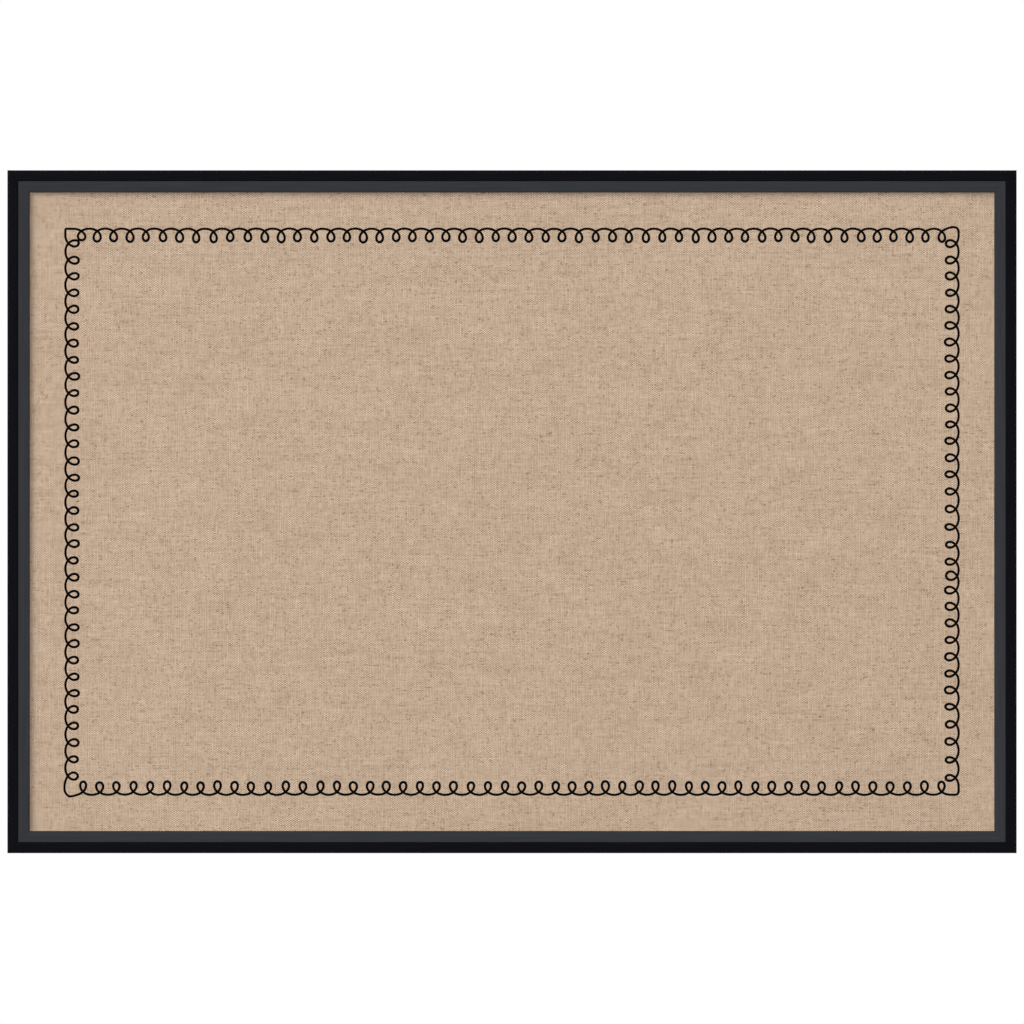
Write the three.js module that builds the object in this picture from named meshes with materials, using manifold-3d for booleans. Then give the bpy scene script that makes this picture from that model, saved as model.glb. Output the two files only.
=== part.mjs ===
// A memo board for a wall: a linen-covered cork panel in a black frame with a charcoal liner.
// Millimetres. +X is to the right and +Z is up. The front faces -Y and the wall is the plane Y = 0.
// The origin lies on the wall, behind the middle of the board.

import * as THREE from "three";
import { mergeVertices } from "three/addons/utils/BufferGeometryUtils.js";
import Module from "manifold-3d";

const wasm = await Module();
wasm.setup();

// Panel: a 36 by 24 inch board, measured over its linen
const PANEL_WIDTH = 914.4;
const PANEL_HEIGHT = 609.6;
const LINEN_THICKNESS = 0.8;
const LINEN_TURN_IN = 22;
const WADDING_THICKNESS = 2;
const CORK_THICKNESS = 6.35;
const HARDBOARD_THICKNESS = 3.2;

// Frame: the black moulding, and the charcoal liner that lips over the panel
const MOULDING_BAND = 9.9;
const MOULDING_STEP = 0.6;
const MOULDING_OUTER_ROUND = 1.4;
const MOULDING_INNER_ROUND = 0.7;
const LINER_BAND = 10.6;
const LINER_LIP = 5;
const LINER_FALL = 0.6;
const LINER_ROUND = 0.8;
const LIP_OVERLAP = 6.35;

// Screws, all of one kind: pan head, cross recess
const SCREW_SHANK = 3;
const SCREW_LENGTH = 11;
const SCREW_POINT = 3;
const SCREW_HEAD = 6.4;
const SCREW_HEAD_EDGE = 0.7;
const SCREW_HEAD_HEIGHT = 2;
const RECESS_LENGTH = 3.6;
const RECESS_WIDTH = 0.9;
const RECESS_DEPTH = 1.1;

// Corner nails: folded steel, two to each mitre, driven in from the back
const CORNER_NAIL_LEG = 5;
const CORNER_NAIL_THICKNESS = 0.6;
const CORNER_NAIL_HEIGHT = 8;
const CORNER_NAIL_SINK = 0.4;
const CORNER_NAIL_INSETS = [3, 8.5];

// Turn buttons: flat steel tongues that hold the panel in the frame
const BUTTON_REACH = 27;
const BUTTON_WIDTH = 10;
const BUTTON_THICKNESS = 1.2;
const LONG_RAIL_BUTTON_INSET = 150;
const SHORT_RAIL_BUTTON_INSET = 220;

// Hangers: a folded strap on each side rail, with a wire ring in its eye
const HANGER_DROP = 110;
const STRAP_WIDTH = 7;
const STRAP_LENGTH = 38;
const STRAP_GAUGE = 0.8;
const STRAP_SCREW_END = 7;
const STRAP_SCREW_SPACING = 12;
const RING_WIRE = 2;
const RING_LEG = 6;
const RING_BEND = 2;
const RING_BUTT_GAP = 0.4;

// Bumpers: rubber discs that stand the frame off the wall
const BUMPER_THICKNESS = 5;
const BUMPER_RADIUS = 5;
const BUMPER_FACE_RADIUS = 4;
const BUMPER_SHOULDER = 3.4;
const BUMPER_CORNER_INSET = 32;

// Clearances
const LAYER_GAP = 0.1;
const FIT_GAP = 0.3;
const RUNNING_GAP = 0.2;
const MITRE_GAP = 0.15;
const PANEL_CLEARANCE = 0.8;
const RING_SIDE_PLAY = 0.8;
const CUT_OVERRUN = 1;

// Smoothness of round shapes
const ROUND_SEGMENTS = 12;
const ARC_SEGMENTS = 3;
const PLATE_SEGMENTS = 6;
const WIRE_SIDES = 8;
const WIRE_STEPS = 44;

// Sizes that follow from the ones above
const SIGHT_WIDTH = PANEL_WIDTH - 2 * LIP_OVERLAP;
const SIGHT_HEIGHT = PANEL_HEIGHT - 2 * LIP_OVERLAP;
const FACE_WIDTH = MOULDING_BAND + LINER_BAND;
const FRAME_WIDTH = SIGHT_WIDTH + 2 * FACE_WIDTH;
const FRAME_HEIGHT = SIGHT_HEIGHT + 2 * FACE_WIDTH;
const RAIL_BODY = FACE_WIDTH - LIP_OVERLAP - PANEL_CLEARANCE;
const RAIL_MIDDLE = RAIL_BODY / 2;
const COVERED_THICKNESS = 2 * LINEN_THICKNESS + WADDING_THICKNESS + CORK_THICKNESS + 3 * LAYER_GAP;
const COVERED_BACK = FIT_GAP + HARDBOARD_THICKNESS + LAYER_GAP;
const COVERED_FRONT = COVERED_BACK + COVERED_THICKNESS;
const LINER_BACK = COVERED_FRONT + FIT_GAP;
const LINER_FRONT = LINER_BACK + LINER_LIP + LINER_FALL;
const RAIL_DEPTH = LINER_FRONT + MOULDING_STEP;
const LEDGE_HEIGHT = LINER_BACK - FIT_GAP;
const SCREW_HOLE = SCREW_SHANK / 2 + RUNNING_GAP;
const QUARTER_TURN = Math.PI / 2;

// Finishes
const finish = (color, roughness, metalness) =>
  new THREE.MeshStandardMaterial({ color, roughness, metalness });
const blackLacquer = () => finish(0x131217, 0.45, 0);
const charcoalPaint = () => finish(0x37383c, 0.6, 0);
const linen = () => finish(0xbea68e, 0.95, 0);
const cottonWadding = () => finish(0xe9e4da, 1, 0);
const cork = () => finish(0xa9784a, 0.9, 0);
const hardboard = () => finish(0x6f4b30, 0.7, 0);
const zincSteel = () => finish(0xb4b6b8, 0.35, 1);
const blackRubber = () => finish(0x1b1b1c, 0.8, 0);

const board = new THREE.Group();

function addMesh(parent, name, geometry, material) {
  const mesh = new THREE.Mesh(geometry, material);
  mesh.name = name;
  parent.add(mesh);
  return mesh;
}

// Boolean cuts
function solidOf(geometry) {
  const bare = geometry.clone();
  bare.deleteAttribute("normal");
  bare.deleteAttribute("uv");
  const merged = mergeVertices(bare);
  const vertProperties = new Float32Array(merged.attributes.position.array);
  const triVerts = new Uint32Array(merged.index.array);
  return new wasm.Manifold(new wasm.Mesh({ numProp: 3, vertProperties, triVerts }));
}

function geometryOf(solid) {
  const { vertProperties, triVerts } = solid.getMesh();
  const geometry = new THREE.BufferGeometry();
  geometry.setAttribute("position", new THREE.BufferAttribute(vertProperties, 3));
  geometry.setIndex(new THREE.BufferAttribute(triVerts, 1));
  geometry.computeVertexNormals();
  return geometry;
}

function cut(geometry, tools) {
  const solid = tools.reduce((rest, tool) => rest.subtract(solidOf(tool)), solidOf(geometry));
  return geometryOf(solid);
}

// A drill or screw hole that goes from the plane Y = top down to Y = top - depth
function drill(radius, x, z, top, depth) {
  const tool = new THREE.CylinderGeometry(radius, radius, depth + CUT_OVERRUN, ROUND_SEGMENTS);
  return tool.translate(x, top + (CUT_OVERRUN - depth) / 2, z);
}

// A flat outline becomes a plate whose back is at Y = top
function plate(shape, thickness, top) {
  const settings = { depth: thickness, bevelEnabled: false, curveSegments: PLATE_SEGMENTS };
  const geometry = new THREE.ExtrudeGeometry(shape, settings);
  return geometry.rotateX(QUARTER_TURN).translate(0, top, 0);
}

// Frame bars
// A profile holds the distance in from the frame's outer edge, and the height above the frame's back.
// A bar lies along X with its outer edge at Z = 0, and its ends are cut at 45 degrees.
function mitredBar(profile, outerLength) {
  const settings = { depth: 1, bevelEnabled: false, curveSegments: ARC_SEGMENTS };
  const geometry = new THREE.ExtrudeGeometry(profile, settings);
  const position = geometry.attributes.position;
  for (let i = 0; i < position.count; i += 1) {
    const inset = position.getX(i);
    const height = position.getY(i);
    const end = 0.5 - position.getZ(i);
    position.setXYZ(i, end * (outerLength - 2 * inset - 2 * MITRE_GAP), -height, -inset);
  }
  geometry.computeVertexNormals();
  return geometry;
}

function mouldingProfile() {
  const outer = MOULDING_OUTER_ROUND;
  const inner = MOULDING_INNER_ROUND;
  const profile = new THREE.Shape();
  profile.moveTo(0, 0);
  profile.lineTo(RAIL_BODY, 0);
  profile.lineTo(RAIL_BODY, LEDGE_HEIGHT);
  profile.lineTo(MOULDING_BAND, LEDGE_HEIGHT);
  profile.lineTo(MOULDING_BAND, RAIL_DEPTH - inner);
  profile.absarc(MOULDING_BAND - inner, RAIL_DEPTH - inner, inner, 0, QUARTER_TURN, false);
  profile.lineTo(outer, RAIL_DEPTH);
  profile.absarc(outer, RAIL_DEPTH - outer, outer, QUARTER_TURN, Math.PI, false);
  profile.lineTo(0, 0);
  return profile;
}

function linerProfile() {
  const outer = MOULDING_BAND + FIT_GAP;
  const lipFront = LINER_BACK + LINER_LIP;
  const profile = new THREE.Shape();
  profile.moveTo(outer, LINER_BACK);
  profile.lineTo(FACE_WIDTH, LINER_BACK);
  profile.lineTo(FACE_WIDTH, lipFront - LINER_ROUND);
  profile.absarc(FACE_WIDTH - LINER_ROUND, lipFront - LINER_ROUND, LINER_ROUND, 0, QUARTER_TURN, false);
  profile.lineTo(outer, LINER_FRONT);
  profile.lineTo(outer, LINER_BACK);
  return profile;
}

// Corner nails: two legs at a right angle, along +X and +Z from the mitre, standing into the frame
function cornerNail(grow, height, top) {
  const half = CORNER_NAIL_THICKNESS / 2 + grow;
  const leg = CORNER_NAIL_LEG + grow;
  const outline = new THREE.Shape();
  outline.moveTo(-half, -half);
  outline.lineTo(leg, -half);
  outline.lineTo(leg, half);
  outline.lineTo(half, half);
  outline.lineTo(half, leg);
  outline.lineTo(-half, leg);
  outline.lineTo(-half, -half);
  return plate(outline, height, top);
}

function cornerNailSlots(outerLength) {
  const height = CORNER_NAIL_SINK + CORNER_NAIL_HEIGHT + FIT_GAP + CUT_OVERRUN;
  const slot = () => cornerNail(FIT_GAP, height, CUT_OVERRUN);
  return CORNER_NAIL_INSETS.flatMap((inset) => {
    const end = outerLength / 2 - inset;
    return [
      slot().rotateY(QUARTER_TURN).translate(-end, 0, -inset),
      slot().rotateY(2 * QUARTER_TURN).translate(end, 0, -inset),
    ];
  });
}

function addCornerNails(parent, corner) {
  CORNER_NAIL_INSETS.forEach((inset, i) => {
    const geometry = cornerNail(0, CORNER_NAIL_HEIGHT, -CORNER_NAIL_SINK);
    const nail = addMesh(parent, `corner_nail_${corner.name}_${i + 1}`, geometry, zincSteel());
    const x = corner.x * (FRAME_WIDTH / 2 - inset);
    const z = corner.z * (FRAME_HEIGHT / 2 - inset);
    nail.position.set(x, 0, z);
    nail.rotation.y = corner.turn;
  });
}

// Screws: the underside of the head is at Y = 0 and the point goes to -Y
function screw() {
  const shank = SCREW_SHANK / 2;
  const head = SCREW_HEAD / 2;
  const crown = SCREW_HEAD_HEIGHT - SCREW_HEAD_EDGE;
  const profile = [
    new THREE.Vector2(0, -SCREW_LENGTH),
    new THREE.Vector2(shank, SCREW_POINT - SCREW_LENGTH),
    new THREE.Vector2(shank, 0),
    new THREE.Vector2(head, 0),
  ];
  for (let i = 0; i <= ARC_SEGMENTS; i += 1) {
    const angle = (QUARTER_TURN * i) / ARC_SEGMENTS;
    const radius = i < ARC_SEGMENTS ? head * Math.cos(angle) : 0;
    profile.push(new THREE.Vector2(radius, SCREW_HEAD_EDGE + crown * Math.sin(angle)));
  }
  const recessHeight = RECESS_DEPTH + CUT_OVERRUN;
  const recessMiddle = SCREW_HEAD_HEIGHT - RECESS_DEPTH + recessHeight / 2;
  const slots = [
    new THREE.BoxGeometry(RECESS_LENGTH, recessHeight, RECESS_WIDTH),
    new THREE.BoxGeometry(RECESS_WIDTH, recessHeight, RECESS_LENGTH),
  ];
  slots.forEach((slot) => slot.translate(0, recessMiddle, 0));
  return cut(new THREE.LatheGeometry(profile, ROUND_SEGMENTS), slots);
}

// The hole a screw needs in the wood, when its head stands clear of the frame's back by stack
function pilot(x, z, stack) {
  return drill(SCREW_SHANK / 2 + FIT_GAP, x, z, 0, SCREW_LENGTH - stack + FIT_GAP);
}

// Turn buttons: pivot at the origin, tongue towards -Z, pointing at the panel
const BUTTON_STACK = BUTTON_THICKNESS + 2 * RUNNING_GAP;

function turnButton() {
  const round = BUTTON_WIDTH / 2;
  const straight = BUTTON_REACH - round;
  const outline = new THREE.Shape();
  outline.absarc(0, 0, round, 0, Math.PI, false);
  outline.lineTo(-round, -straight);
  outline.absarc(0, -straight, round, Math.PI, 2 * Math.PI, false);
  outline.lineTo(round, 0);
  const hole = new THREE.Path();
  hole.absarc(0, 0, SCREW_HOLE, 0, 2 * Math.PI, true);
  outline.holes.push(hole);
  return plate(outline, BUTTON_THICKNESS, RUNNING_GAP + BUTTON_THICKNESS);
}

// Hanger straps: the ring's axis is at Z = 0, the plate hangs down and lies on the frame's back
const STRAP_PLATE = 2 * STRAP_GAUGE;
const STRAP_FRONT = LAYER_GAP + STRAP_PLATE;
const EYE_HOLE = RING_WIRE / 2 + RUNNING_GAP;
const EYE_RADIUS = EYE_HOLE + STRAP_GAUGE;
const EYE_HEIGHT = LAYER_GAP + EYE_RADIUS;
const STRAP_STACK = STRAP_FRONT + LAYER_GAP;
const LOWER_SCREW_DROP = STRAP_LENGTH - STRAP_SCREW_END;
const STRAP_SCREW_DROPS = [LOWER_SCREW_DROP - STRAP_SCREW_SPACING, LOWER_SCREW_DROP];

function hangerStrap() {
  const meet = Math.asin((STRAP_PLATE - EYE_RADIUS) / EYE_RADIUS);
  const side = new THREE.Shape();
  side.moveTo(STRAP_LENGTH, STRAP_PLATE);
  side.lineTo(EYE_RADIUS * Math.cos(meet), STRAP_PLATE);
  side.absarc(0, EYE_RADIUS, EYE_RADIUS, meet, 3 * QUARTER_TURN, false);
  side.lineTo(STRAP_LENGTH, 0);
  side.lineTo(STRAP_LENGTH, STRAP_PLATE);
  const eye = new THREE.Path();
  eye.absarc(0, EYE_RADIUS, EYE_HOLE, 0, 2 * Math.PI, true);
  side.holes.push(eye);
  const sideWidth = STRAP_WIDTH + 2 * CUT_OVERRUN;
  const settings = { depth: sideWidth, bevelEnabled: false, curveSegments: PLATE_SEGMENTS };
  const folded = new THREE.ExtrudeGeometry(side, settings);
  folded.rotateY(QUARTER_TURN).translate(-sideWidth / 2, LAYER_GAP, 0);
  const round = STRAP_WIDTH / 2;
  const straight = STRAP_LENGTH - round;
  const plan = new THREE.Shape();
  plan.moveTo(round, EYE_RADIUS + CUT_OVERRUN);
  plan.lineTo(-round, EYE_RADIUS + CUT_OVERRUN);
  plan.lineTo(-round, -straight);
  plan.absarc(0, -straight, round, Math.PI, 2 * Math.PI, false);
  plan.lineTo(round, EYE_RADIUS + CUT_OVERRUN);
  const blankTop = EYE_HEIGHT + EYE_RADIUS + CUT_OVERRUN;
  const blank = plate(plan, blankTop + CUT_OVERRUN, blankTop);
  const strap = geometryOf(solidOf(folded).intersect(solidOf(blank)));
  const holes = STRAP_SCREW_DROPS.map((drop) =>
    drill(SCREW_HOLE, 0, -drop, STRAP_FRONT, STRAP_PLATE + CUT_OVERRUN),
  );
  return cut(strap, holes);
}

// A flat path, read as a curve in the plane Y = 0
class FlatCurve extends THREE.Curve {
  constructor(path) {
    super();
    this.path = path;
  }

  getPoint(t, target = new THREE.Vector3()) {
    const point = this.path.getPoint(t);
    return target.set(point.x, 0, point.y);
  }
}

// Hanger rings: one bent wire whose ends meet in the strap's eye, with the bow below
const RING_HALF = STRAP_WIDTH / 2 + RING_SIDE_PLAY + RING_WIRE / 2;
const RING_REACH = RING_LEG + RING_HALF;

function hangerRing() {
  const wire = new THREE.Path();
  wire.moveTo(RING_BUTT_GAP / 2, 0);
  wire.lineTo(RING_HALF - RING_BEND, 0);
  wire.absarc(RING_HALF - RING_BEND, -RING_BEND, RING_BEND, QUARTER_TURN, 0, true);
  wire.lineTo(RING_HALF, -RING_LEG);
  wire.absarc(0, -RING_LEG, RING_HALF, 0, -Math.PI, true);
  wire.lineTo(-RING_HALF, -RING_BEND);
  wire.absarc(RING_BEND - RING_HALF, -RING_BEND, RING_BEND, Math.PI, QUARTER_TURN, true);
  wire.lineTo(-RING_BUTT_GAP / 2, 0);
  const section = new THREE.Shape();
  section.absarc(0, 0, RING_WIRE / 2, 0, 2 * Math.PI, false);
  const settings = {
    steps: WIRE_STEPS,
    curveSegments: WIRE_SIDES / 2,
    bevelEnabled: false,
    extrudePath: new FlatCurve(wire),
  };
  return new THREE.ExtrudeGeometry(section, settings);
}

// The ring hangs plumb, or is held off by the strap that it lies on
function ringTilt() {
  const heldOff = STRAP_FRONT + RUNNING_GAP + RING_WIRE / 2 - EYE_HEIGHT;
  return Math.asin(Math.max(0, heldOff) / RING_REACH);
}

function addHanger(parent, side) {
  const hanger = new THREE.Group();
  hanger.position.set(side.outward * (FRAME_WIDTH / 2 - RAIL_MIDDLE), 0, FRAME_HEIGHT / 2 - HANGER_DROP);
  parent.add(hanger);
  addMesh(hanger, `hanger_strap_${side.name}`, hangerStrap(), zincSteel());
  const ring = addMesh(hanger, `hanger_ring_${side.name}`, hangerRing(), zincSteel());
  ring.position.y = EYE_HEIGHT;
  ring.rotation.x = ringTilt();
  STRAP_SCREW_DROPS.forEach((drop, i) => {
    const fixing = addMesh(hanger, `strap_screw_${side.name}_${i + 1}`, screw(), zincSteel());
    fixing.position.set(0, STRAP_STACK, -drop);
  });
}

// Bumpers: a disc with a rounded shoulder, glued to the frame's back
function bumper() {
  const profile = [
    new THREE.Vector2(0, LAYER_GAP),
    new THREE.Vector2(BUMPER_RADIUS, LAYER_GAP),
    new THREE.Vector2(BUMPER_RADIUS, BUMPER_SHOULDER),
  ];
  for (let i = 1; i <= ARC_SEGMENTS; i += 1) {
    const angle = (QUARTER_TURN * i) / ARC_SEGMENTS;
    const radius = BUMPER_FACE_RADIUS + (BUMPER_RADIUS - BUMPER_FACE_RADIUS) * Math.cos(angle);
    const height = BUMPER_SHOULDER + (BUMPER_THICKNESS - BUMPER_SHOULDER) * Math.sin(angle);
    profile.push(new THREE.Vector2(radius, height));
  }
  profile.push(new THREE.Vector2(0, BUMPER_THICKNESS));
  return new THREE.LatheGeometry(profile, ROUND_SEGMENTS);
}

// The frame: its back is the plane Y = 0 of this group, which the bumpers hold off the wall
const frame = new THREE.Group();
frame.position.y = -BUMPER_THICKNESS;
board.add(frame);

const longButtons = [LONG_RAIL_BUTTON_INSET - FRAME_WIDTH / 2, 0, FRAME_WIDTH / 2 - LONG_RAIL_BUTTON_INSET];
const shortButtons = [SHORT_RAIL_BUTTON_INSET - FRAME_HEIGHT / 2, FRAME_HEIGHT / 2 - SHORT_RAIL_BUTTON_INSET];
const hangerScrews = STRAP_SCREW_DROPS.map((drop) => FRAME_HEIGHT / 2 - HANGER_DROP - drop);
const sides = [
  { name: "top", length: FRAME_WIDTH, reach: FRAME_HEIGHT / 2, turn: 0, buttons: longButtons, screws: [] },
  {
    name: "right",
    length: FRAME_HEIGHT,
    reach: FRAME_WIDTH / 2,
    turn: QUARTER_TURN,
    buttons: shortButtons,
    screws: hangerScrews.map((height) => -height),
    outward: 1,
  },
  {
    name: "bottom",
    length: FRAME_WIDTH,
    reach: FRAME_HEIGHT / 2,
    turn: 2 * QUARTER_TURN,
    buttons: longButtons,
    screws: [],
  },
  {
    name: "left",
    length: FRAME_HEIGHT,
    reach: FRAME_WIDTH / 2,
    turn: -QUARTER_TURN,
    buttons: shortButtons,
    screws: hangerScrews,
    outward: -1,
  },
];

// Each side is built as if it were the top one, and then turned into its place
for (const side of sides) {
  const upright = new THREE.Group();
  upright.rotation.y = side.turn;
  frame.add(upright);
  const bars = new THREE.Group();
  bars.position.z = side.reach;
  upright.add(bars);
  const holes = [
    ...cornerNailSlots(side.length),
    ...side.buttons.map((x) => pilot(x, -RAIL_MIDDLE, BUTTON_STACK)),
    ...side.screws.map((x) => pilot(x, -RAIL_MIDDLE, STRAP_STACK)),
  ];
  const rail = cut(mitredBar(mouldingProfile(), side.length), holes);
  addMesh(bars, `rail_${side.name}`, rail, blackLacquer());
  addMesh(bars, `liner_${side.name}`, mitredBar(linerProfile(), side.length), charcoalPaint());
  side.buttons.forEach((x, i) => {
    const button = addMesh(bars, `turn_button_${side.name}_${i + 1}`, turnButton(), zincSteel());
    button.position.set(x, 0, -RAIL_MIDDLE);
    const pivot = addMesh(bars, `pivot_screw_${side.name}_${i + 1}`, screw(), zincSteel());
    pivot.position.set(x, BUTTON_STACK, -RAIL_MIDDLE);
  });
  if (side.outward) {
    addHanger(frame, side);
  }
}

const corners = [
  { name: "bottom_left", x: -1, z: -1, turn: 0 },
  { name: "top_left", x: -1, z: 1, turn: QUARTER_TURN },
  { name: "top_right", x: 1, z: 1, turn: 2 * QUARTER_TURN },
  { name: "bottom_right", x: 1, z: -1, turn: -QUARTER_TURN },
];
for (const corner of corners) {
  addCornerNails(frame, corner);
  const foot = addMesh(frame, `bumper_${corner.name}`, bumper(), blackRubber());
  const x = corner.x * (FRAME_WIDTH / 2 - BUMPER_CORNER_INSET);
  foot.position.set(x, 0, corner.z * (FRAME_HEIGHT / 2 - RAIL_MIDDLE));
}

// The panel, layer by layer from its back
// A layer is a slab that many millimetres smaller all round than the panel
function slab(margin, thickness, back) {
  const width = PANEL_WIDTH - 2 * margin;
  const height = PANEL_HEIGHT - 2 * margin;
  return new THREE.BoxGeometry(width, thickness, height).translate(0, -back - thickness / 2, 0);
}

const insideMargin = LINEN_THICKNESS + LAYER_GAP;
const corkBack = COVERED_BACK + LINEN_THICKNESS + LAYER_GAP;
const waddingBack = corkBack + CORK_THICKNESS + LAYER_GAP;

addMesh(frame, "hardboard_back", slab(0, HARDBOARD_THICKNESS, FIT_GAP), hardboard());
addMesh(frame, "cork_core", slab(insideMargin, CORK_THICKNESS, corkBack), cork());
addMesh(frame, "wadding", slab(insideMargin, WADDING_THICKNESS, waddingBack), cottonWadding());

// The linen wraps the front and the edges, and its hem lies on the cork's back
const hollow = slab(
  LINEN_THICKNESS,
  COVERED_THICKNESS - 2 * LINEN_THICKNESS,
  COVERED_BACK + LINEN_THICKNESS,
);
const hemOpening = slab(
  LINEN_THICKNESS + LINEN_TURN_IN,
  LINEN_THICKNESS + 2 * CUT_OVERRUN,
  COVERED_BACK - CUT_OVERRUN,
);
const wrap = cut(slab(0, COVERED_THICKNESS, COVERED_BACK), [hollow, hemOpening]);
addMesh(frame, "linen_cover", wrap, linen());

export default board;
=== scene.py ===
# A linen memo board in a two-tone frame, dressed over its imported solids.
# Metres, +Z up. The front faces -Y and the wall that it hangs on is the plane Y = 0.
import math
from functools import partial

import bmesh
import bpy
from mathutils import Matrix, Vector


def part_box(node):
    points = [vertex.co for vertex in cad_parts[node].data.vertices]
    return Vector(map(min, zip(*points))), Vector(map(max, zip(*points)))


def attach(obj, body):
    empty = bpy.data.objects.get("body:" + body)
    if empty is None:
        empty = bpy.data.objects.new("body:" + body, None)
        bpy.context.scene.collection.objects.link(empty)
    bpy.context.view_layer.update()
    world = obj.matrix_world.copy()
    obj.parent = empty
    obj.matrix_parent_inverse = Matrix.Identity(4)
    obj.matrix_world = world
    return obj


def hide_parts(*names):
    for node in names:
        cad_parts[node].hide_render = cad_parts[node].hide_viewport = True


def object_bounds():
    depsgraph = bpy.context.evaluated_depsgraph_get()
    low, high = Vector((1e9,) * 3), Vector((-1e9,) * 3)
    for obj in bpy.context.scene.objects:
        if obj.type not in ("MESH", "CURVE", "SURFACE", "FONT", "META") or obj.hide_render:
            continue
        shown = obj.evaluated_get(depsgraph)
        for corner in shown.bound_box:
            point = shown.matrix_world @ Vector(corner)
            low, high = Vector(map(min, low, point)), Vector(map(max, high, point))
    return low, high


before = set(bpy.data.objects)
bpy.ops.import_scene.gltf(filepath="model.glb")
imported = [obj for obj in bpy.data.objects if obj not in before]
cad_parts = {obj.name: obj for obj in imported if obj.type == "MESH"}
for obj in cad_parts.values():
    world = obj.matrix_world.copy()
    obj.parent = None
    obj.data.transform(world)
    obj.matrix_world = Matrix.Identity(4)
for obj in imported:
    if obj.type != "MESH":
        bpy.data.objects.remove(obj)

cad_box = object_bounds()
scene = bpy.context.scene
scene.view_settings.view_transform = "Standard"

# The camera
# The photograph looks at the board level, square and from far off, so a long lens stands back
# until its picture is as wide, at the front of the frame, as the photograph is.
LENS_MM = 200
SENSOR_MM = 36
PICTURE_WIDTH = 0.95625
PICTURE_DROP = 0.00026
FAR_LIMIT = 100
frame_front = cad_box[0].y


def add_object(name, data):
    """A new object in the scene."""
    added = bpy.data.objects.new(name, data)
    scene.collection.objects.link(added)
    return added


camera_data = bpy.data.cameras.new("camera")
camera_data.lens = LENS_MM
camera_data.sensor_width = SENSOR_MM
camera_data.clip_end = FAR_LIMIT
camera = add_object("camera", camera_data)
camera.location = (0, frame_front - PICTURE_WIDTH * LENS_MM / SENSOR_MM, -PICTURE_DROP)
camera.rotation_euler = (math.pi / 2, 0, 0)
scene.camera = camera

# The outer moulding
# Four bars of milled pine, mitred at the corners, sprayed with black lacquer on the faces that show.
# The spray stops at the back, which is left as bare wood with a ragged edge of overspray.
MITRE_LINE = 0.00006
OUTER_ROUND = 0.0014
INNER_ROUND = 0.0007
LINER_GLUE_GAP = 0.0003
ROUND_STEPS = 6
CREASE = math.radians(32)
QUARTER_TURNS = {"top": 0, "right": 1, "bottom": 2, "left": 3}

rail_low, rail_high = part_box("rail_top")
liner_low, liner_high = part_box("liner_top")
frame_back = rail_high.y
half_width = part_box("rail_right")[1].x
half_height = rail_high.z
rail_depth = frame_back - frame_front
rail_body = half_height - rail_low.z
liner_back = frame_back - liner_high.y
moulding_band = half_height - liner_high.z - LINER_GLUE_GAP
ledge_height = liner_back - LINER_GLUE_GAP


def linear(hex_colour):
    """An sRGB hex colour as linear RGBA."""
    channels = [int(hex_colour[i : i + 2], 16) / 255 for i in (1, 3, 5)]
    return [c / 12.92 if c <= 0.04045 else ((c + 0.055) / 1.055) ** 2.4 for c in channels] + [1]


def set_inputs(node, values):
    """Links each input to the socket that is given for it, or sets it to the value."""
    for key, value in values.items():
        if isinstance(value, bpy.types.NodeSocket):
            node.id_data.links.new(value, node.inputs[key])
        else:
            node.inputs[key].default_value = value


def add_node(tree, kind, inputs=(), take=0, stops=(), **settings):
    """Adds a node and gives one of its outputs. The kind may leave off the first part of the node's name,
    and a second word in it is the operation. Inputs are listed in order, or keyed by name or number.
    Stops are the places and hex colours of a ramp, from low to high."""
    kind, _, operation = kind.partition(" ")
    first_part = next(part for part in ("GeometryNode", "ShaderNode", "") if hasattr(bpy.types, part + kind))
    node = tree.nodes.new(first_part + kind)
    if operation:
        node.operation = operation
    for name, value in settings.items():
        setattr(node, name, value)
    set_inputs(node, inputs if isinstance(inputs, dict) else dict(enumerate(inputs)))
    if stops:
        elements = node.color_ramp.elements
        while len(elements) < len(stops):
            elements.new(1)
        for element, (place, colour) in zip(elements, stops):
            element.position = place
            element.color = linear(colour)
    return node.outputs[take] if len(node.outputs) else None


def new_material(name):
    """A material, the function that adds nodes to it, and a shader that is joined to its output."""
    material = bpy.data.materials.new(name)
    material.use_nodes = True
    material.node_tree.nodes.clear()
    add = partial(add_node, material.node_tree)
    surface = add("BsdfPrincipled")
    add("OutputMaterial", {"Surface": surface})
    return material, add, surface.node


def place_piece(name, mesh, material, body, nodes):
    """Puts a finished mesh in the scene and ties it to the body, slot and CAD nodes that it stands for."""
    mesh.materials.clear()
    mesh.materials.append(material)
    piece = add_object(name, mesh)
    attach(piece, body)
    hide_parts(*nodes)
    return piece


def shade(mesh, crease=CREASE):
    """Makes a mesh smooth but for edges sharper than crease."""
    mesh.polygons.foreach_set("use_smooth", [True] * len(mesh.polygons))
    mesh.set_sharp_from_angle(angle=crease)
    return mesh


def shaded_mesh(name, bm):
    """A shaded mesh from bm, which is then freed."""
    mesh = bpy.data.meshes.new(name)
    bm.to_mesh(mesh)
    bm.free()
    return shade(mesh)


def arc(centre, radius, start, end, steps=ROUND_STEPS):
    """Points on an arc, in degrees."""
    angles = [math.radians(start + (end - start) * i / steps) for i in range(steps + 1)]
    return [(centre[0] + radius * math.cos(a), centre[1] + radius * math.sin(a)) for a in angles]


def profile_runs(profile):
    """How far round the profile each of its points lies, and the whole way round."""
    runs = [0.0]
    for a, b in zip(profile, profile[1:] + profile[:1]):
        runs.append(runs[-1] + math.dist(a, b))
    return runs


def side_lengths(turns, across, upright):
    """Half the length of the side after so many quarter turns, and how far it lies from the middle."""
    return (across, upright) if turns % 2 == 0 else (upright, across)


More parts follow.
